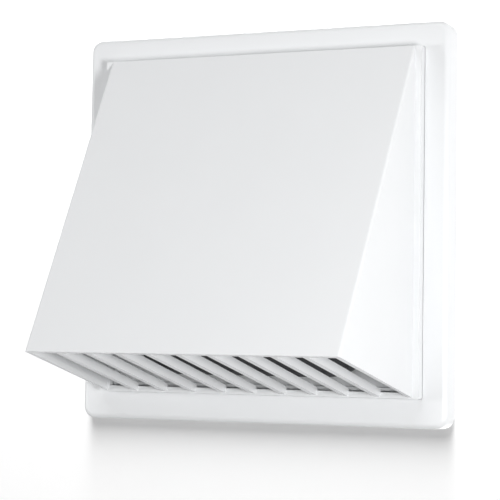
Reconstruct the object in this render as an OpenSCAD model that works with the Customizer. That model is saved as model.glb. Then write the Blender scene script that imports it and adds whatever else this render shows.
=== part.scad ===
// Hooded wall vent cap with an under-grille of blades and a gravity flap over the duct mouth.
// Every piece is drawn as seen from the front of the wall: x to the right, y up and z out of
// the wall. upright() then stands it up, with X to the right, Y into the wall and Z up. The
// origin is the centre of the plate on the face of the wall, on the axis of the duct.

/* [Plate] */
// Depth of the plate from the wall to its front face
plate_t = 10; // [9:0.5:14]
// Wall of the plate moulding
plate_wall = 2.4; // [1.8:0.2:3]
// Corner radius of the plate, seen from the front
plate_corner_r = 4.5; // [4:0.5:10]
// Rounding of the plate's front edge
plate_edge_r = 2.2; // [1:0.2:3]
// Thickness of the stiffening ribs in the back of the plate
rib_t = 1.6; // [1.2:0.2:2.4]
// Spacing of the short ribs that carry the gasket
rib_pitch = 20; // [18:1:22]

/* [Spigot] */
// Outside diameter of the spigot that goes into the duct
spigot_d = 99; // [80:1:160]
// Wall of the spigot
spigot_wall = 2; // [1.6:0.2:3]
// Length of the spigot behind the face of the wall
spigot_len = 40; // [20:5:80]
// Chamfer round the end of the spigot
spigot_chamfer = 1; // [0.4:0.2:1.4]
// Shoulder inside the plate that the duct stops against
spigot_shoulder = 1; // [0.6:0.2:2]

/* [Seat and seal] */
// Width of the raised seat round the duct mouth
seat_w = 3.5; // [3:0.5:4]
// Height of the seat above the face of the plate
seat_h = 1.4; // [1:0.2:2]
// Thickness of the soft ring on the seat
seal_t = 1.5; // [1:0.1:2]
// Step of the seat left bare on each side of the soft ring
seal_step = 0.3; // [0.2:0.1:0.6]
// Gap between the shut flap and the soft ring
seal_gap = 0.3; // [0.3:0.1:0.6]

/* [Hood] */
// Plate left showing at each side of the hood
side_border = 9.5; // [9:0.5:12]
// Plate left showing above the hood
top_border = 9.6; // [8:0.4:12]
// Plate left showing below the hood
bottom_border = 10.8; // [10:0.4:12]
// Distance from the face of the plate to the lip
hood_reach = 70.6; // [60:0.2:80]
// Height of the lip above the lower edge of the plate
lip_height = 25.8; // [24:0.2:30]
// Room between the ears of the hinge and the cheeks
cheek_room = 6.15; // [4:0.05:12]
// Distance from the hinge axis up to the top of the hood
hinge_cover = 11.4; // [11:0.2:16]
// Wall of the hood
hood_wall = 2.2; // [1.6:0.2:2.6]
// Wall of the cheeks at the frame, from where they thicken to the wall of the hood at the lip
cheek_foot_wall = 1.4; // [1.2:0.1:2.2]
// Height of the square frame at the foot of the hood above the face of the plate
frame_h = 4; // [3:0.1:5]
// Depth of the groove in the plate that the frame stands in
groove_depth = 0.6; // [0.5:0.1:1]
// Gap between the sides of the frame and its groove
groove_gap = 0.15; // [0.1:0.05:0.3]
// Gap between the back of the frame and the floor of its groove
frame_gap = 0.3; // [0.2:0.1:0.5]
// Step from the side of the frame in to the foot of the cheek
cheek_step = 2.35; // [1.5:0.05:2.6]
// How far each cheek leans in from its foot to the lip
cheek_draft = 2.9; // [1:0.1:4]
// Rounding of the edges between the front panel and the cheeks
hood_edge_r = 1; // [0.4:0.2:1.6]
// Corner radius of the frame
frame_corner_r = 0.3; // [0.2:0.1:2]
// Height of the bottom rail
rail_h = 2.2; // [1.8:0.1:3]
// Rise of the cheek's lower edge above the foot of the rail
cheek_lift = 0.5; // [0.2:0.1:1]

/* [Blades] */
// Number of blades in the under-grille
blade_count = 9; // [5:1:11]
// Thickness of a blade
blade_t = 2.2; // [1.4:0.1:3]
// Height of a blade
blade_h = 3.4; // [2.6:0.2:5]
// Rounding of a blade's top corner at the rail
blade_end_r = 1.8; // [0.6:0.2:2]

/* [Flap] */
// Thickness of the flap
flap_t = 2; // [1.6:0.2:2.4]
// How far the flap reaches past the seat at each side
flap_lap = 0.5; // [0.3:0.1:0.8]
// Radius of the flap's lower corners
flap_corner_r = 22; // [10:1:36]
// Height of the rim and ribs on the front of the flap
flap_rim_h = 1; // [0.6:0.1:1.2]
// Width of the rim and ribs
flap_rim_w = 1.8; // [1.2:0.2:3]
// Gap that the swinging flap keeps to the blades
blade_clear = 0.6; // [0.5:0.1:3]
// Angle left between the open flap and the front panel
open_slack = 0.16; // [0:0.02:1]
// Diameter of the rubber bumpers
bumper_d = 5; // [4:0.5:7]
// Distance of the bumpers from the middle of the flap
bumper_x = 30; // [20:1:34]
// Height of the bumpers above the lower edge of the flap
bumper_rise = 11; // [8:1:20]
// Gap that the bumpers keep to the panel when the flap is open
bumper_gap = 0.3; // [0.3:0.1:0.6]

/* [Hinge] */
// Diameter of the hinge pin
pin_d = 2; // [1.6:0.1:2.2]
// Radial clearance of the pin in the flap
pin_run = 0.08; // [0.05:0.01:0.1]
// Radial clearance of the pin in the ears
pin_seat = 0.02; // [0.01:0.01:0.04]
// Diameter of the flap's knuckles
knuckle_d = 4.8; // [4.4:0.1:5]
// Gap between the knuckles and the seat
knuckle_gap = 0.6; // [0.4:0.1:1]
// Length of the middle knuckle
knuckle_mid = 24; // [16:1:40]
// Length of each end knuckle
knuckle_end = 16; // [8:1:20]
// Gap between the flap and each ear
ear_gap = 0.5; // [0.4:0.1:0.8]
// Thickness of the ears
ear_t = 2.8; // [2:0.2:3]
// Width of an ear round the pin
ear_d = 5.2; // [4.6:0.2:5.4]
// Diameter of the pin's head
pin_head_d = 3.6; // [3:0.2:4]
// Thickness of the pin's head
pin_head_t = 0.8; // [0.6:0.1:1]

/* [Fixings] */
// Distance from the sides of the plate to the screw holes
hole_side = 20; // [19.6:0.1:20.5]
// Distance from the upper and lower edge of the plate to the screw holes
hole_over = 29; // [29:1:34]
// Diameter of the screw holes
hole_d = 4.4; // [3.6:0.1:5]
// Diameter of the recess for the screw heads
head_d = 7.8; // [7:0.1:8]
// Depth of the recess for the screw heads
head_depth = 3.5; // [2.5:0.1:5]
// Wall round the recess
boss_wall = 1.5; // [1.2:0.1:1.6]
// Distance from the middle of the hood to the snap hooks, up and down
hook_y = 30; // [28:1:32]
// Width of a snap hook
hook_w = 8; // [6:0.5:10]
// Thickness of a snap hook
hook_t = 1.5; // [1.2:0.1:1.8]
// How far a hook catches behind the plate's front wall
hook_catch = 0.6; // [0.3:0.1:0.8]
// Gap round a hook in its slot
hook_gap = 0.2; // [0.15:0.05:0.3]
// Height of the locating rim inside the hood's frame
rim_h = 1.5; // [1:0.1:2]
// Thickness of the locating rim
rim_t = 1.2; // [0.8:0.1:1.4]
// Gap between the locating rim and the frame
rim_gap = 0.35; // [0.3:0.05:0.5]

/* [Gasket] */
// Thickness of the gasket, pressed flat
gasket_t = 2.5; // [2:0.1:4]
// Gap between the gasket and the walls of its channel
gasket_gap = 0.2; // [0.1:0.05:0.4]

/* [Hidden] */
$fn = 96;

WHITE = "#f4f4f2";
DARK = "#3a3c3e";
STEEL = "#b9bcc0";
RUBBER = "#2a2a2c";
FOAM = "#55575a";
eps = 0.5;                                        // overlap that fuses two forms of one moulding
far = 200;                                        // reaches past every form that is cut

// Duct mouth and the seat round it
spigot_r = spigot_d / 2;
mouth_r = spigot_r - spigot_wall;
seat_r = mouth_r + seat_w;
seat_z = plate_t + seat_h;

// Hinge above the seat, and the ears beside the flap
hinge_y = seat_r + knuckle_gap + knuckle_d / 2;
hinge_z = seat_z + seal_t + seal_gap + flap_t / 2;
flap_x = seat_r + flap_lap;
ear_x = flap_x + ear_gap;
pin_x = ear_x + ear_t + eps;

// Hood round the hinge, and the plate round the hood
inner_x = ear_x + ear_t + cheek_room;
cheek_foot_x = inner_x + hood_wall;
hood_x = cheek_foot_x + cheek_step;
hood_top = hinge_y + hinge_cover;
plate_w = 2 * (hood_x + side_border);
plate_h = 2 * (hood_top + top_border);
hood_foot = -plate_h / 2 + bottom_border;
hood_mid = (hood_top + hood_foot) / 2;
groove_z = plate_t - groove_depth;
frame_back = groove_z + frame_gap;
frame_front = plate_t + frame_h;
rail_top = hood_foot + rail_h;

// Front panel, cheeks and the sloping underside
lip_z = plate_t + hood_reach;
lip_y = -plate_h / 2 + lip_height;
lean = atan((lip_z - frame_front) / (hood_top - lip_y));
draft = atan(cheek_draft / (lip_z - frame_front));
under_y = hood_foot + cheek_lift;
rise = atan((lip_y - under_y) / (lip_z - frame_front));
function panel_z(y, depth = 0) = frame_front + (hood_top - y) * tan(lean) - depth / cos(lean);
function cheek_x(z, depth = 0) = cheek_foot_x - (z - frame_front) * tan(draft) - depth;
function underside_y(z) = under_y + (z - frame_front) * tan(rise);

// Blades, evenly spaced between the cheeks at the rail and at the lip. A line that runs h above
// the underside meets the middle of the panel's wall at blade_end(h).
function blade_end(h) = frame_front
    + ((hood_top - under_y - h) * tan(lean) - hood_wall / 2 / cos(lean)) / (1 + tan(rise) * tan(lean));
pitch_rail = 2 * (cheek_foot_x - hood_wall / 2) / (blade_count + 1);
pitch_lip = 2 * (cheek_x(lip_z) - hood_wall / 2) / (blade_count + 1);

// Flap, as long as its swing over the blades allows, and its stop against the panel
blade_top_y = underside_y(hinge_z) + blade_h;
flap_len = (hinge_y - blade_top_y) * cos(rise) - blade_clear;
flap_open = lean - open_slack;
bumper_arm = flap_len - bumper_rise;
pin_to_panel = (panel_z(hinge_y, hood_wall) - hinge_z) * cos(lean);
bumper_h = pin_to_panel - flap_t / 2 + bumper_arm * sin(lean - flap_open) - bumper_gap;

// Snap hooks in the side members of the frame, and the channel of the gasket outside them
hook_x = (inner_x + hood_x - hook_t) / 2;
hook_tip_z = plate_t - plate_wall - 2 * hook_catch - hook_gap;
cuff_t = 2.2;
cuff_x = hook_x - 2 * hook_gap;
cuff_y = plate_h / 2 - (plate_w / 2 - cuff_x);

// Screw holes
hole_x = plate_w / 2 - hole_side;
hole_y = plate_h / 2 - hole_over;
boss_r = head_d / 2 + boss_wall;

// Stands what is drawn facing the wall upright in the part's frame
module upright() {
    rotate([90, 0, 0]) children();
}

// Extrudes a profile given as [y, z] along x
module along_x(length) {
    rotate([90, 0, 90]) linear_extrude(length, center = true) children();
}

// Extrudes a profile given as [x, z] along y
module along_y(length) {
    rotate([90, 0, 0]) linear_extrude(length, center = true) children();
}

module rounded_rect(w, h, r) {
    square([w - 2 * r, h], center = true);
    square([w, h - 2 * r], center = true);
    for (x = [-1, 1], y = [-1, 1])
        translate([x * (w / 2 - r), y * (h / 2 - r)]) circle(r);
}

module ring(outer_r, inner_r, h) {
    rotate_extrude() translate([inner_r, 0]) square([outer_r - inner_r, h]);
}

// Repeats its children at the four screw holes
module at_holes() {
    for (x = [-1, 1], y = [-1, 1])
        translate([x * hole_x, y * hole_y, 0]) children();
}

// Repeats its children at the four snap hooks, mirrored on the left
module at_hooks() {
    for (side = [0, 1], y = [-1, 1])
        mirror([side, 0, 0]) translate([hook_x, hood_mid + y * hook_y, 0]) children();
}

// Wall plate

module plate_blank() {
    corner_x = plate_w / 2 - plate_corner_r;
    corner_y = plate_h / 2 - plate_corner_r;
    hull() {
        linear_extrude(plate_t - plate_edge_r)
            rounded_rect(plate_w, plate_h, plate_corner_r, $fn = 32);
        for (x = [-1, 1], y = [-1, 1])
            translate([x * corner_x, y * corner_y, plate_t - plate_edge_r])
                rotate_extrude($fn = 32) translate([plate_corner_r - plate_edge_r, 0])
                    intersection() {
                        circle(plate_edge_r, $fn = 32);
                        square(plate_edge_r);
                    }
    }
}

module plate_pocket() {
    translate([0, 0, -eps])
        linear_extrude(plate_t - plate_wall + eps)
            rounded_rect(plate_w - 2 * plate_wall, plate_h - 2 * plate_wall,
                         plate_corner_r - plate_wall / 2);
}

// Square wall round the bosses, the inner side of the gasket's channel
module cuff() {
    linear_extrude(plate_t - plate_wall + eps) difference() {
        square([2 * cuff_x, 2 * cuff_y], center = true);
        square([2 * (cuff_x - cuff_t), 2 * (cuff_y - cuff_t)], center = true);
    }
}

// Short ribs across the channel, whose edges carry the gasket
module channel_ribs() {
    rib_len = plate_w / 2 - plate_wall - cuff_x + 2 * eps;
    rib_h = plate_t - plate_wall - gasket_t + eps;
    for (side = [0:3]) {
        span = side % 2 == 0 ? cuff_x : cuff_y;
        last = floor((side % 2 == 0 ? cuff_y : cuff_x) / rib_pitch);
        rotate([0, 0, 90 * side]) for (i = [-last:last])
            translate([span - eps, i * rib_pitch - rib_t / 2, gasket_t])
                cube([rib_len, rib_t, rib_h]);
    }
}

// Ribs from the spigot to the cuff and to the screw bosses
module spokes() {
    spoke_h = plate_t - plate_wall - gasket_t + eps;
    reaches = [for (side = [0:3]) [90 * side, side % 2 == 0 ? cuff_x : cuff_y]];
    boss_reach = norm([hole_x, hole_y]) - head_d / 2;
    bosses = [for (x = [-1, 1], y = [-1, 1]) [atan2(y * hole_y, x * hole_x), boss_reach]];
    for (spoke = concat(reaches, bosses))
        rotate([0, 0, spoke[0]])
            translate([spigot_r - eps, -rib_t / 2, gasket_t])
                cube([spoke[1] - spigot_r, rib_t, spoke_h]);
}

module spigot() {
    tip = -spigot_len;
    rotate_extrude() polygon([
        [mouth_r, tip],
        [spigot_r - spigot_chamfer, tip],
        [spigot_r, tip + spigot_chamfer],
        [spigot_r, 0],
        [spigot_r + spigot_shoulder, 0],
        [spigot_r + spigot_shoulder, plate_t - plate_wall + eps],
        [mouth_r, plate_t - plate_wall + eps]
    ]);
}

// Area inside the locating rim's outer face, set in by inset
module rim_area(inset) {
    top = hood_top - hood_wall - rim_gap - inset;
    foot = rail_top + rim_gap + inset;
    translate([0, (top + foot) / 2]) square([2 * (inner_x - rim_gap - inset), top - foot], center = true);
}

// Low wall that centres the hood's frame on the plate, from the floor of the frame's groove
module locating_rim() {
    translate([0, 0, groove_z - eps])
        linear_extrude(groove_depth + rim_h + eps) difference() {
            rim_area(0);
            rim_area(rim_t);
        }
}

// Groove that the hood's frame stands in, as far in as the middle of the locating rim
module frame_groove() {
    translate([0, 0, groove_z]) linear_extrude(groove_depth + eps) difference() {
        translate([0, hood_mid]) rounded_rect(2 * (hood_x + groove_gap),
            hood_top - hood_foot + 2 * groove_gap, frame_corner_r + groove_gap);
        rim_area(rim_t / 2);
    }
}

module ears() {
    foot = hinge_z - plate_t;
    for (side = [-1, 1])
        translate([side * (ear_x + ear_t / 2), hinge_y, hinge_z]) {
            rotate([0, 90, 0]) cylinder(d = ear_d, h = ear_t, center = true);
            along_x(ear_t) polygon([
                [-ear_d / 2, -foot - eps],
                [ear_d / 2, -foot - eps],
                [ear_d / 2, 0],
                [-ear_d / 2, 0]
            ]);
        }
}

module hook_slots() {
    at_hooks() translate([-hook_gap, -hook_w / 2 - hook_gap, plate_t - plate_wall - eps])
        cube([hook_t + 2 * hook_gap, hook_w + 2 * hook_gap, plate_wall + 2 * eps]);
}

module wall_plate() {
    color(WHITE) upright() difference() {
        union() {
            difference() {
                plate_blank();
                plate_pocket();
                frame_groove();
            }
            cuff();
            channel_ribs();
            spokes();
            spigot();
            locating_rim();
            translate([0, 0, plate_t - eps]) ring(seat_r, mouth_r, seat_h + eps);
            at_holes() cylinder(r = boss_r, h = plate_t - plate_wall + eps);
            ears();
        }
        translate([0, 0, -spigot_len - eps]) cylinder(r = mouth_r, h = far);
        at_holes() {
            translate([0, 0, -eps]) cylinder(d = hole_d, h = plate_t + 2 * eps);
            translate([0, 0, plate_t - head_depth]) cylinder(d = head_d, h = head_depth + eps);
        }
        hook_slots();
        translate([0, hinge_y, hinge_z]) rotate([0, 90, 0])
            cylinder(d = pin_d + 2 * pin_seat, h = far, center = true);
    }
}

// Hood

// Space between the sloping underside and the top of the hood, from inside the frame outwards
module above_underside() {
    along_x(far) polygon([
        [hood_top, frame_back + eps],
        [hood_top, far],
        [underside_y(far), far],
        [under_y, frame_front],
        [under_y, frame_back + eps]
    ]);
}

// Wedge with rounded edges along the panel, longer than the hood at each end
module rounded_wedge() {
    past = 8;
    foot_z = frame_front - past;
    hull() for (side = [-1, 1]) {
        for (y = [hood_top + past, lip_y - past]) {
            centre_y = y - hood_edge_r * sin(lean);
            centre_z = panel_z(y) - hood_edge_r * cos(lean);
            translate([side * (cheek_x(centre_z) - hood_edge_r), centre_y, centre_z])
                sphere(hood_edge_r, $fn = 32);
            translate([side * (cheek_x(foot_z) - hood_edge_r), y - past, foot_z])
                sphere(hood_edge_r, $fn = 32);
        }
    }
}

// Space inside the hood, open at the back and below
module hood_cavity() {
    low = lip_y - far / 4;
    intersection() {
        along_x(far) polygon([
            [hood_top - hood_wall, frame_back - eps],
            [hood_top - hood_wall, panel_z(hood_top - hood_wall, hood_wall)],
            [low, panel_z(low, hood_wall)],
            [low, frame_front],
            [rail_top, frame_front],
            [rail_top, frame_back - eps]
        ]);
        along_y(far) polygon([
            [-inner_x, frame_back - eps],
            [inner_x, frame_back - eps],
            [inner_x, frame_front],
            [cheek_foot_x - cheek_foot_wall, frame_front],
            [cheek_x(lip_z, hood_wall), lip_z],
            [-cheek_x(lip_z, hood_wall), lip_z],
            [-cheek_foot_x + cheek_foot_wall, frame_front],
            [-inner_x, frame_front]
        ]);
    }
}

module frame_blank() {
    translate([0, hood_mid, frame_back])
        linear_extrude(frame_front - frame_back)
            rounded_rect(2 * hood_x, hood_top - hood_foot, frame_corner_r);
}

// One blade, from the top of the rail to the middle of the panel's wall. Its lower edge lies
// under the underside, where blades() cuts it off, and its top corner at the rail is round.
module blade() {
    foot = frame_front - eps;
    low = blade_end(-eps);
    high = blade_end(blade_h);
    top = underside_y(foot) + blade_h;
    along_x(blade_t) polygon(concat(
        [
            [underside_y(foot) - eps, foot],
            [underside_y(low) - eps, low],
            [underside_y(high) + blade_h, high]
        ],
        [for (a = [0:15:90]) [
            top - blade_end_r * (1 - cos(a)),
            foot + blade_end_r * (1 - sin(a))
        ]]
    ));
}

// Blades in a fan from the rail to the lip
module blades() {
    intersection() {
        for (i = [1:blade_count]) {
            place = i - (blade_count + 1) / 2;
            turn = atan(place * (pitch_lip - pitch_rail) / (lip_z - frame_front));
            translate([place * pitch_rail, 0, frame_front])
                rotate([0, turn, 0]) translate([0, 0, -frame_front]) blade();
        }
        above_underside();
    }
}

// Tongues with an outward barb that snap in behind the front wall of the plate
module hooks() {
    barb_z = plate_t - plate_wall - hook_gap;
    at_hooks() rotate([90, 0, 0]) linear_extrude(hook_w, center = true) polygon([
        [0, frame_back + eps],
        [0, hook_tip_z],
        [hook_t / 2, hook_tip_z],
        [hook_t + hook_catch + hook_gap, barb_z],
        [hook_t, barb_z],
        [hook_t, frame_back + eps]
    ]);
}

module hood() {
    color(WHITE) upright() union() {
        difference() {
            union() {
                intersection() {
                    rounded_wedge();
                    above_underside();
                }
                frame_blank();
            }
            hood_cavity();
        }
        blades();
        hooks();
    }
}

// Flap and its hinge

// Outline of the flap below the hinge axis, set in by inset
module flap_outline(inset) {
    w = 2 * (flap_x - inset);
    r = flap_corner_r - inset;
    foot = hinge_y - flap_len + inset;
    translate([-w / 2, foot + r]) square([w, hinge_y - inset - foot - r]);
    translate([-w / 2 + r, foot]) square([w - 2 * r, r + eps]);
    for (side = [-1, 1])
        translate([side * (w / 2 - r), foot + r]) circle(r);
}

module flap_ribs() {
    mid_y = hinge_y - flap_len / 2;
    translate([0, 0, hinge_z + flap_t / 2 - eps]) linear_extrude(flap_rim_h + eps) {
        difference() {
            flap_outline(0);
            flap_outline(flap_rim_w);
        }
        intersection() {
            flap_outline(0);
            union() {
                translate([0, mid_y]) square([flap_rim_w, flap_len], center = true);
                translate([0, mid_y]) square([2 * flap_x, flap_rim_w], center = true);
            }
        }
    }
}

module flap() {
    window = flap_x - knuckle_end - knuckle_mid / 2;
    color(DARK) upright() difference() {
        union() {
            translate([0, 0, hinge_z - flap_t / 2]) linear_extrude(flap_t) flap_outline(0);
            flap_ribs();
            translate([0, hinge_y, hinge_z]) rotate([0, 90, 0])
                cylinder(d = knuckle_d, h = 2 * flap_x, center = true);
        }
        for (side = [-1, 1])
            translate([side * (knuckle_mid + window) / 2, hinge_y, hinge_z])
                cube([window, knuckle_d + 2 * eps, knuckle_d + 2 * eps], center = true);
        translate([0, hinge_y, hinge_z]) rotate([0, 90, 0])
            cylinder(d = pin_d + 2 * pin_run, h = far, center = true);
    }
}

module flap_pin() {
    color(STEEL) upright() translate([0, hinge_y, hinge_z]) rotate([0, 90, 0]) {
        cylinder(d = pin_d, h = 2 * pin_x, center = true);
        translate([0, 0, -ear_x - ear_t - pin_head_t]) cylinder(d = pin_head_d, h = pin_head_t);
    }
}

module flap_seal() {
    color(RUBBER) upright() translate([0, 0, seat_z])
        ring(seat_r - seal_step, mouth_r + seal_step, seal_t);
}

// Domed buttons on the front of the flap
module flap_bumpers() {
    dome = bumper_d / 5;
    color(RUBBER) upright() for (side = [-1, 1])
        translate([side * bumper_x, hinge_y - bumper_arm, hinge_z + flap_t / 2])
            rotate_extrude() {
                square([bumper_d / 2, bumper_h - dome]);
                square([bumper_d / 2 - dome, bumper_h]);
                translate([bumper_d / 2 - dome, bumper_h - dome]) intersection() {
                    circle(dome);
                    square(dome);
                }
            }
}

module wall_gasket() {
    out = plate_wall + gasket_gap;
    color(FOAM) upright() linear_extrude(gasket_t) difference() {
        rounded_rect(plate_w - 2 * out, plate_h - 2 * out, plate_corner_r - plate_wall / 2);
        square([2 * (cuff_x + gasket_gap), 2 * (cuff_y + gasket_gap)], center = true);
    }
}

wall_plate();
hood();
flap();
flap_pin();
flap_seal();
flap_bumpers();
wall_gasket();
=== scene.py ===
import math

import bmesh
import bpy
from mathutils import Matrix, Vector


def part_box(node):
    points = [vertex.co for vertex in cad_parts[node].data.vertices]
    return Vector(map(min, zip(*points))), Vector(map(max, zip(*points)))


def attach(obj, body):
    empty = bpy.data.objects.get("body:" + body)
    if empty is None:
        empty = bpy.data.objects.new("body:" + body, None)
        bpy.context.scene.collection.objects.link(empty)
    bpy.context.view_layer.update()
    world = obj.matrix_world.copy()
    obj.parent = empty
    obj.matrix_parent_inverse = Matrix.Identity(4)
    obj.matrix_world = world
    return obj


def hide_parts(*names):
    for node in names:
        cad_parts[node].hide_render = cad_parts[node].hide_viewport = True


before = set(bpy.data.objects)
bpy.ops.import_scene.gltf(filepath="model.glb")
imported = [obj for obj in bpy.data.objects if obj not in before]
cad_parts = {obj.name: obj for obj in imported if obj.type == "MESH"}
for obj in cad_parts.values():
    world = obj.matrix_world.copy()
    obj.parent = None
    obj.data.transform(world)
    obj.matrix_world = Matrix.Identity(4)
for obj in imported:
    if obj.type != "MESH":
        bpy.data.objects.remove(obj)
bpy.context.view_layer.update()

# Camera, from the fit of the plate's and hood's edges to the photograph

FRAME_PIXELS = 500
FOCAL_PIXELS = 1824.5
AXIS_ROW = 200.0
SENSOR_MM = 36.0
NEAREST, FARTHEST = 0.01, 20
CAMERA_PLACE = (0.27774, -0.64638, -0.04770)
CAMERA_YAW, CAMERA_PITCH, CAMERA_ROLL = (math.radians(a) for a in (23.899, 4.723, 0.944))


def make_camera():
    forward = Vector((
        -math.sin(CAMERA_YAW) * math.cos(CAMERA_PITCH),
        math.cos(CAMERA_YAW) * math.cos(CAMERA_PITCH),
        math.sin(CAMERA_PITCH),
    ))
    level = Vector((math.cos(CAMERA_YAW), math.sin(CAMERA_YAW), 0))
    upright = level.cross(forward)
    right = math.cos(CAMERA_ROLL) * level + math.sin(CAMERA_ROLL) * upright
    up = right.cross(forward)
    data = bpy.data.cameras.new("camera")
    data.sensor_width = SENSOR_MM
    data.lens = FOCAL_PIXELS / FRAME_PIXELS * SENSOR_MM
    data.shift_y = (AXIS_ROW - FRAME_PIXELS / 2) / FRAME_PIXELS
    data.clip_start, data.clip_end = NEAREST, FARTHEST
    camera = bpy.data.objects.new("camera", data)
    turn = Matrix((right, up, -forward)).transposed()
    camera.matrix_world = Matrix.Translation(CAMERA_PLACE) @ turn.to_4x4()
    bpy.context.scene.collection.objects.link(camera)
    bpy.context.scene.camera = camera


make_camera()

# Nodes, for the finishes and for the rubber parts' shapes


def add_socket(tree, name, kind, value=None, out=False):
    socket = tree.interface.new_socket(name, in_out="OUTPUT" if out else "INPUT", socket_type=kind)
    if value is not None:
        socket.default_value = value


def fed(tree, node, values=(), links=()):
    """The node, given its plain values and its incoming links."""
    for socket, value in values:
        node.inputs[socket].default_value = value
    for socket, source in links:
        tree.links.new(source, node.inputs[socket])
    return node


def linked(tree, kind, values=(), links=(), **settings):
    """A new node with its settings, its plain values and its incoming links."""
    node = tree.nodes.new(kind)
    for name, value in settings.items():
        setattr(node, name, value)
    return fed(tree, node, values, links)


def maths(tree, operation, first, second, **settings):
    """The result of a Math node on a socket and a second socket or plain number."""
    plain = isinstance(second, float)
    values = [(1, second)] if plain else []
    links = [(0, first)] if plain else [(0, first), (1, second)]
    node = linked(tree, "ShaderNodeMath", values, links, operation=operation, **settings)
    return node.outputs["Value"]


# Finishes

GRAIN_DETAIL = 2
MOTTLE_DETAIL = 3
GRAIN_DEPTH = 0.0001
CELL_BLUR = 0.35
CELL_MIDDLE, CELL_WALL = 0.1, 0.5
CELL_RELIEF = 0.8
FOAM_ROUGHNESS = 0.9


def new_material(name):
    material = bpy.data.materials.new(name)
    material.use_nodes = True
    return material, material.node_tree, material.node_tree.nodes["Principled BSDF"]


def moulded_surface():
    """Fine grain and slow mottling of a moulded plastic: a shade, a roughness and a height."""
    tree = bpy.data.node_groups.new("moulded_surface", "ShaderNodeTree")
    add_socket(tree, "Colour", "NodeSocketColor", (0.8, 0.8, 0.8, 1))
    add_socket(tree, "Mottled colour", "NodeSocketColor", (0.7, 0.7, 0.7, 1))
    add_socket(tree, "Grain scale", "NodeSocketFloat", 2500)
    add_socket(tree, "Mottle scale", "NodeSocketFloat", 40)
    add_socket(tree, "Least roughness", "NodeSocketFloat", 0.3)
    add_socket(tree, "Most roughness", "NodeSocketFloat", 0.4)
    add_socket(tree, "Colour", "NodeSocketColor", out=True)
    add_socket(tree, "Roughness", "NodeSocketFloat", out=True)
    add_socket(tree, "Height", "NodeSocketFloat", out=True)
    given = tree.nodes.new("NodeGroupInput").outputs
    place = tree.nodes.new("ShaderNodeTexCoord").outputs["Object"]
    grain = linked(tree, "ShaderNodeTexNoise", [("Detail", GRAIN_DETAIL)],
                   [("Vector", place), ("Scale", given["Grain scale"])])
    mottle = linked(tree, "ShaderNodeTexNoise", [("Detail", MOTTLE_DETAIL)],
                    [("Vector", place), ("Scale", given["Mottle scale"])]).outputs["Fac"]
    shade = linked(tree, "ShaderNodeMix", data_type="RGBA",
                   links=[("Factor", mottle), ("A", given["Colour"]),
                          ("B", given["Mottled colour"])])
    roughness = linked(tree, "ShaderNodeMapRange",
                       links=[("Value", mottle), ("To Min", given["Least roughness"]),
                              ("To Max", given["Most roughness"])])
    linked(tree, "NodeGroupOutput",
           links=[("Colour", shade.outputs["Result"]), ("Roughness", roughness.outputs["Result"]),
                  ("Height", grain.outputs["Fac"])])
    return tree


MOULDED = moulded_surface()


def moulded(name, colour, mottled, roughness, grain_scale, mottle_scale, bump, metallic=0.0):
    """A material of the moulded surface, with its own shades, roughness and grain."""
    material, tree, shader = new_material(name)
    surface = linked(tree, "ShaderNodeGroup", node_tree=MOULDED, values=[
        ("Colour", (*colour, 1)), ("Mottled colour", (*mottled, 1)),
        ("Grain scale", grain_scale), ("Mottle scale", mottle_scale),
        ("Least roughness", roughness[0]), ("Most roughness", roughness[1])]).outputs
    relief = linked(tree, "ShaderNodeBump", [("Strength", bump), ("Distance", GRAIN_DEPTH)],
                    [("Height", surface["Height"])])
    fed(tree, shader, [("Metallic", metallic)],
        [("Base Color", surface["Colour"]), ("Roughness", surface["Roughness"]),
         ("Normal", relief.outputs["Normal"])])
    return material


def foam(name, skin, painted_pore_shade, cell):
    """Cut foam: round cells about cell metres wide, deeper in their middles, with painted shade
    darkening those middles.
    """
    material, tree, shader = new_material(name)
    place = tree.nodes.new("ShaderNodeTexCoord").outputs["Object"]
    cells = linked(tree, "ShaderNodeTexVoronoi", [("Scale", 1 / cell), ("Smoothness", CELL_BLUR)],
                   [("Vector", place)], feature="SMOOTH_F1")
    height = linked(tree, "ShaderNodeMapRange",
                    [("From Min", CELL_MIDDLE), ("From Max", CELL_WALL)],
                    [("Value", cells.outputs["Distance"])]).outputs["Result"]
    # The cell middles take the darker pore colour: painted shade in the pits, driven by the same
    # depth as the bump.
    shade = linked(tree, "ShaderNodeMix", data_type="RGBA",
                   values=[("A", (*painted_pore_shade, 1)), ("B", (*skin, 1))], links=[("Factor", height)])
    relief = linked(tree, "ShaderNodeBump", [("Strength", CELL_RELIEF), ("Distance", cell / 4)],
                    [("Height", height)])
    fed(tree, shader, [("Roughness", FOAM_ROUGHNESS)],
        [("Base Color", shade.outputs["Result"]), ("Normal", relief.outputs["Normal"])])
    return material


white_moulding = moulded(
    "white_moulding", colour=(0.80, 0.81, 0.82), mottled=(0.775, 0.785, 0.795),
    roughness=(0.34, 0.44), grain_scale=2200, mottle_scale=35, bump=0.12)
dark_moulding = moulded(
    "dark_moulding", colour=(0.085, 0.088, 0.092), mottled=(0.064, 0.066, 0.070),
    roughness=(0.42, 0.55), grain_scale=2600, mottle_scale=60, bump=0.2)
pin_steel = moulded(
    "pin_steel", colour=(0.58, 0.58, 0.58), mottled=(0.50, 0.50, 0.50),
    roughness=(0.22, 0.34), grain_scale=3500, mottle_scale=150, bump=0.1, metallic=1.0)
soft_rubber = moulded(
    "soft_rubber", colour=(0.030, 0.030, 0.032), mottled=(0.045, 0.045, 0.046),
    roughness=(0.6, 0.75), grain_scale=1800, mottle_scale=90, bump=0.25)
gasket_foam = foam(
    "gasket_foam", skin=(0.115, 0.12, 0.125), painted_pore_shade=(0.05, 0.052, 0.055), cell=0.0007)

# Hood, plate, flap, pin and gasket, each a copy of its CAD solid with its edges eased

SAME_POINT = 1e-6
SAME_PLANE = math.radians(0.4)
SHARP_EDGE = math.radians(28)
EASE_STEPS = 2
FLAT_FACE_WEIGHT = 90


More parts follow.
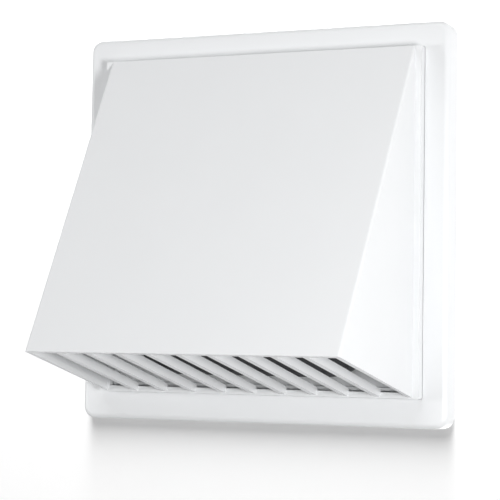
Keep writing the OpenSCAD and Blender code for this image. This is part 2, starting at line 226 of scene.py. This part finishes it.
def flat_faces(mesh):
    """Joins a CAD mesh's loose triangles into whole flat faces, shaded from their own shape."""
    bm = bmesh.new()
    bm.from_mesh(mesh)
    bmesh.ops.remove_doubles(bm, verts=bm.verts, dist=SAME_POINT)
    bmesh.ops.dissolve_limit(bm, angle_limit=SAME_PLANE, use_dissolve_boundaries=False,
                             verts=bm.verts, edges=bm.edges)
    bm.to_mesh(mesh)
    bm.free()
    normals = mesh.attributes.get("custom_normal")
    if normals:
        mesh.attributes.remove(normals)
    for polygon in mesh.polygons:
        polygon.use_smooth = True


def dressed(node, body, material, ease):
    """Copy of a CAD node with its flat faces whole and its edges rounded by ease metres."""
    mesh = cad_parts[node].data.copy()
    mesh.name = node + "_dressed"
    flat_faces(mesh)
    mesh.materials.clear()
    mesh.materials.append(material)
    piece = bpy.data.objects.new(node + "_dressed", mesh)
    bpy.context.scene.collection.objects.link(piece)
    bevel = piece.modifiers.new("eased_edges", "BEVEL")
    bevel.width = ease
    bevel.segments = EASE_STEPS
    bevel.limit_method = "ANGLE"
    bevel.angle_limit = SHARP_EDGE
    bevel.use_clamp_overlap = True
    weighted = piece.modifiers.new("flat_faces", "WEIGHTED_NORMAL")
    weighted.weight = FLAT_FACE_WEIGHT
    weighted.keep_sharp = True
    graph = bpy.context.evaluated_depsgraph_get()
    done = bpy.data.meshes.new_from_object(piece.evaluated_get(graph))
    piece.modifiers.clear()
    piece.data = done
    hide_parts(node)
    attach(piece, body)
    return piece


dressed("hood", "vent", white_moulding, ease=0.0003)
plate = dressed("wall_plate", "vent", white_moulding, ease=0.00025)
dressed("flap", "shutter", dark_moulding, ease=0.0002)
dressed("flap_pin", "vent", pin_steel, ease=0.00015)
dressed("wall_gasket", "vent", gasket_foam, ease=0.0005)

# Rubber parts

RING_SIDES = 96
RING_EDGE_STEPS = 5
BUTTON_SIDES = 32
BUTTON_RINGS = 8
FACING_OUT = (math.radians(90), 0, 0)


def shape_tree(name, sizes):
    """A Geometry Nodes tree with named sizes, a place and a material, and what it is given."""
    tree = bpy.data.node_groups.new(name, "GeometryNodeTree")
    add_socket(tree, "Geometry", "NodeSocketGeometry", out=True)
    for size in sizes:
        add_socket(tree, size, "NodeSocketInt" if size == "Count" else "NodeSocketFloat")
    add_socket(tree, "Place", "NodeSocketVector")
    add_socket(tree, "Material", "NodeSocketMaterial")
    return tree, tree.nodes.new("NodeGroupInput").outputs


def end_tree(tree, given, shape):
    """Turns the shape to face out from the wall, puts it in its place and gives its material."""
    smooth = linked(tree, "GeometryNodeSetShadeSmooth", links=[("Geometry", shape)])
    real = linked(tree, "GeometryNodeRealizeInstances",
                  links=[("Geometry", smooth.outputs["Geometry"])])
    placed = linked(tree, "GeometryNodeTransform", [("Rotation", FACING_OUT)],
                    [("Geometry", real.outputs["Geometry"]), ("Translation", given["Place"])])
    finished = linked(tree, "GeometryNodeSetMaterial",
                      links=[("Geometry", placed.outputs["Geometry"]),
                             ("Material", given["Material"])])
    linked(tree, "NodeGroupOutput", links=[("Geometry", finished.outputs["Geometry"])])
    return tree


def ring_section():
    """A ring whose section is a rectangle with its corners rounded by Edge."""
    tree, given = shape_tree("ring_section", ("Radius", "Width", "Height", "Edge"))
    path = linked(tree, "GeometryNodeCurvePrimitiveCircle", [("Resolution", RING_SIDES)],
                  [("Radius", given["Radius"])])
    outline = linked(tree, "GeometryNodeCurvePrimitiveQuadrilateral",
                     links=[("Width", given["Width"]), ("Height", given["Height"])])
    eased = linked(tree, "GeometryNodeFilletCurve", [("Count", RING_EDGE_STEPS)],
                   [("Curve", outline.outputs["Curve"]), ("Radius", given["Edge"])], mode="POLY")
    swept = linked(tree, "GeometryNodeCurveToMesh",
                   links=[("Curve", path.outputs["Curve"]),
                          ("Profile Curve", eased.outputs["Curve"])])
    return end_tree(tree, given, swept.outputs["Mesh"])


def button_row():
    """Round buttons, evenly spaced in a row, whose heads fall away by Edge at their rims."""
    tree, given = shape_tree("button_row", ("Count", "Spacing", "Radius", "Height", "Edge"))
    disc = linked(tree, "GeometryNodeMeshCylinder",
                  [("Vertices", BUTTON_SIDES), ("Fill Segments", BUTTON_RINGS)],
                  [("Radius", given["Radius"]), ("Depth", given["Height"])])
    place = tree.nodes.new("GeometryNodeInputPosition").outputs["Position"]
    across = linked(tree, "ShaderNodeVectorMath", [(1, (1, 1, 0))], [(0, place)],
                    operation="MULTIPLY")
    reach = linked(tree, "ShaderNodeVectorMath", links=[(0, across.outputs["Vector"])],
                   operation="LENGTH")
    flat = maths(tree, "SUBTRACT", given["Radius"], given["Edge"])
    past = maths(tree, "SUBTRACT", reach.outputs["Value"], flat)
    share = maths(tree, "DIVIDE", past, given["Edge"], use_clamp=True)
    fall = maths(tree, "MULTIPLY", maths(tree, "POWER", share, 2.0), given["Edge"])
    down = linked(tree, "ShaderNodeCombineXYZ",
                  links=[("Z", maths(tree, "MULTIPLY", fall, -1.0))])
    height = linked(tree, "ShaderNodeSeparateXYZ", links=[("Vector", place)])
    upper = linked(tree, "FunctionNodeCompare", [(1, 0.0)], [(0, height.outputs["Z"])],
                   data_type="FLOAT", operation="GREATER_THAN")
    domed = linked(tree, "GeometryNodeSetPosition",
                   links=[("Geometry", disc.outputs["Mesh"]),
                          ("Selection", upper.outputs["Result"]),
                          ("Offset", down.outputs["Vector"])])
    step = linked(tree, "ShaderNodeCombineXYZ", links=[("X", given["Spacing"])])
    row = linked(tree, "GeometryNodeMeshLine",
                 links=[("Count", given["Count"]), ("Offset", step.outputs["Vector"])])
    copies = linked(tree, "GeometryNodeInstanceOnPoints",
                    links=[("Points", row.outputs["Mesh"]),
                           ("Instance", domed.outputs["Geometry"])])
    return end_tree(tree, given, copies.outputs["Instances"])


def shaped(name, tree, **values):
    """Plain mesh object made by a tree with these inputs, with its place in its mesh."""
    piece = bpy.data.objects.new(name, bpy.data.meshes.new(name))
    bpy.context.scene.collection.objects.link(piece)
    maker = piece.modifiers.new(tree.name, "NODES")
    maker.node_group = tree
    for item in tree.interface.items_tree:
        if item.in_out == "INPUT":
            maker[item.identifier] = values[item.name]
    graph = bpy.context.evaluated_depsgraph_get()
    done = bpy.data.meshes.new_from_object(piece.evaluated_get(graph))
    if done.materials[0] is None:
        done.materials.pop(index=0)
    piece.modifiers.clear()
    piece.data = done
    return piece


def make_flap_seal():
    low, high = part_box("flap_seal")
    inner = min(math.hypot(v.co.x, v.co.z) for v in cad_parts["flap_seal"].data.vertices)
    seal = shaped("flap_seal_ring", ring_section(), Radius=(high.x + inner) / 2,
                  Width=high.x - inner, Height=high.y - low.y, Edge=0.0007,
                  Place=(low + high) / 2, Material=soft_rubber)
    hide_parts("flap_seal")
    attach(seal, "vent")


def make_flap_bumpers():
    low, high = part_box("flap_bumpers")
    middle = (low + high) / 2
    radius = (high.z - low.z) / 2
    bumpers = shaped("flap_bumper_buttons", button_row(), Count=2,
                     Spacing=high.x - low.x - 2 * radius, Radius=radius,
                     Height=high.y - low.y, Edge=0.001,
                     Place=(low.x + radius, middle.y, middle.z), Material=soft_rubber)
    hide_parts("flap_bumpers")
    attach(bumpers, "shutter")


make_flap_seal()
make_flap_bumpers()

# Wall behind the part, with a near-black disc at the end of the duct as painted shade

WALL_HALF = 1.5
WALL_BACK = 0.0002
SPIGOT_START = 0.001
HOLE_SIDES = 64
HOLE_GAP = 0.001
DUCT_GAP = 0.0005
WALL_GREY, WALL_GLOW = 0.88, 0.25
# The duct's grey is a near-black disc behind the spigot: painted shade where the duct would be
# dark only from lack of light.
DUCT_PAINTED_SHADE_GREY = 0.02


def apart_when_seen(tree, light, seen):
    """The strength seen for camera, glossy and transmission rays, and light for all others."""
    path = tree.nodes.new("ShaderNodeLightPath").outputs
    straight = maths(tree, "MAXIMUM", path["Is Camera Ray"], path["Is Glossy Ray"])
    straight = maths(tree, "MAXIMUM", straight, path["Is Transmission Ray"])
    level = linked(tree, "ShaderNodeMapRange", [("To Min", light), ("To Max", seen)],
                   [("Value", straight)])
    return level.outputs["Result"]


def front_paint(name, grey):
    """Matt paint that is clear from behind, so that the back of the part can be looked at."""
    material, tree, shader = new_material(name)
    fed(tree, shader, [("Base Color", (grey, grey, grey, 1)), ("Roughness", 1.0),
                       ("Specular IOR Level", 0.0)])
    clear = tree.nodes.new("ShaderNodeBsdfTransparent")
    behind = tree.nodes.new("ShaderNodeNewGeometry").outputs["Backfacing"]
    mix = linked(tree, "ShaderNodeMixShader",
                 links=[("Fac", behind), (1, shader.outputs["BSDF"]), (2, clear.outputs["BSDF"])])
    fed(tree, tree.nodes["Material Output"], links=[("Surface", mix.outputs["Shader"])])
    return material, tree, shader


def staged(name, corners, faces, material):
    """Plain mesh object of the surroundings, which are no part of the product."""
    mesh = bpy.data.meshes.new(name)
    mesh.from_pydata(corners, [], faces)
    mesh.materials.append(material)
    piece = bpy.data.objects.new(name, mesh)
    bpy.context.scene.collection.objects.link(piece)
    return piece


def make_wall():
    """The wall, its hole round the spigot, and a near-black disc at the spigot's end: painted
    shade for the dark inside the duct.
    """
    points = [v.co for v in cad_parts["wall_plate"].data.vertices]
    spigot = [co for co in points if co.y > SPIGOT_START]
    radius = max(math.hypot(co.x, co.z) for co in spigot)
    end = max(co.y for co in spigot) + DUCT_GAP
    hole, edge, dark = [], [], []
    for i in range(HOLE_SIDES):
        x, z = math.cos(math.tau * i / HOLE_SIDES), math.sin(math.tau * i / HOLE_SIDES)
        reach = WALL_HALF / max(abs(x), abs(z))
        hole.append(((radius + HOLE_GAP) * x, WALL_BACK, (radius + HOLE_GAP) * z))
        edge.append((reach * x, WALL_BACK, reach * z))
        dark.append((radius * x, end, radius * z))
    ring = [(i, HOLE_SIDES + i, HOLE_SIDES + (i + 1) % HOLE_SIDES, (i + 1) % HOLE_SIDES)
            for i in range(HOLE_SIDES)]
    paint, tree, shader = front_paint("wall_paint", WALL_GREY)
    fed(tree, shader, [("Emission Color", (1, 1, 1, 1))],
        [("Emission Strength", apart_when_seen(tree, 0.0, WALL_GLOW))])
    # The disc behind the spigot is painted shade: a near-black sheet where the duct is dark only
    # from lack of light.
    shade = front_paint("painted_duct_shade_paint", DUCT_PAINTED_SHADE_GREY)[0]
    return [staged("wall", hole + edge, ring, paint),
            staged("duct_end_painted_shade", dark, [range(HOLE_SIDES)], shade)]


surroundings = make_wall()

# Light

DAYLIGHT = 0.2
PART_MIDDLE = (0, -0.03, 0)
WALL_MIDDLE = (0, 0, -0.05)
# Name, azimuth and elevation in degrees, distance and size in metres, power in watts
PART_LAMPS = (
    ("key", 49, -11, 0.7, (0.17, 0.25), 3.85),
    ("top", 0, 50, 0.9, (0.2, 0.2), 1.87),
    ("left", -60, 0, 0.9, (0.2, 0.2), 2.85),
    ("rear_left", -155, 25, 0.9, (0.4, 0.4), 4.2),
    ("rear_low", -175, -25, 0.9, (0.3, 0.3), 1.6),
)
WALL_LAMP = ("wall_wash", 10, 52, 1.2, (0.26, 1.66), 23)


def make_world(strength):
    """Level light from all round, seen as white."""
    world = bpy.data.worlds.new("studio")
    world.use_nodes = True
    tree = world.node_tree
    fed(tree, tree.nodes["Background"], [("Color", (1, 1, 1, 1))],
        [("Strength", apart_when_seen(tree, strength, 1.0))])
    bpy.context.scene.world = world


def lamp_place(azimuth, elevation, distance):
    """A place round the middle of the part, azimuth from the front to its right, in degrees."""
    turn, lift = math.radians(azimuth), math.radians(elevation)
    return (distance * math.sin(turn) * math.cos(lift),
            PART_MIDDLE[1] - distance * math.cos(turn) * math.cos(lift),
            distance * math.sin(lift))


def object_group(name, objects):
    """A collection for light linking."""
    group = bpy.data.collections.new(name)
    for member in objects:
        group.objects.link(member)
    return group


def area_light(row, target, lights, stops):
    """A lamp from its row of values, which lights one group and is stopped by another."""
    name, azimuth, elevation, distance, size, power = row
    place = lamp_place(azimuth, elevation, distance)
    data = bpy.data.lights.new(name, "AREA")
    data.shape = "RECTANGLE"
    data.size, data.size_y = size
    data.energy = power
    lamp = bpy.data.objects.new(name, data)
    lamp.location = place
    aim = Vector(target) - Vector(place)
    lamp.rotation_mode = "QUATERNION"
    lamp.rotation_quaternion = aim.to_track_quat("-Z", "Y")
    lamp.light_linking.receiver_collection = lights
    lamp.light_linking.blocker_collection = stops
    bpy.context.scene.collection.objects.link(lamp)


def light_part():
    pieces = [o for o in bpy.context.scene.objects if o.type == "MESH" and o not in surroundings]
    part = object_group("part", pieces)
    for row in PART_LAMPS:
        area_light(row, PART_MIDDLE, lights=part, stops=part)


def light_wall():
    """The drop shadow on the wall is the plate's alone: this lamp passes through the hood."""
    area_light(WALL_LAMP, WALL_MIDDLE, lights=object_group("wall_wash_lights", surroundings),
               stops=object_group("wall_wash_stops", [plate]))


make_world(DAYLIGHT)
light_part()
light_wall()
bpy.context.scene.view_settings.view_transform = "Standard"
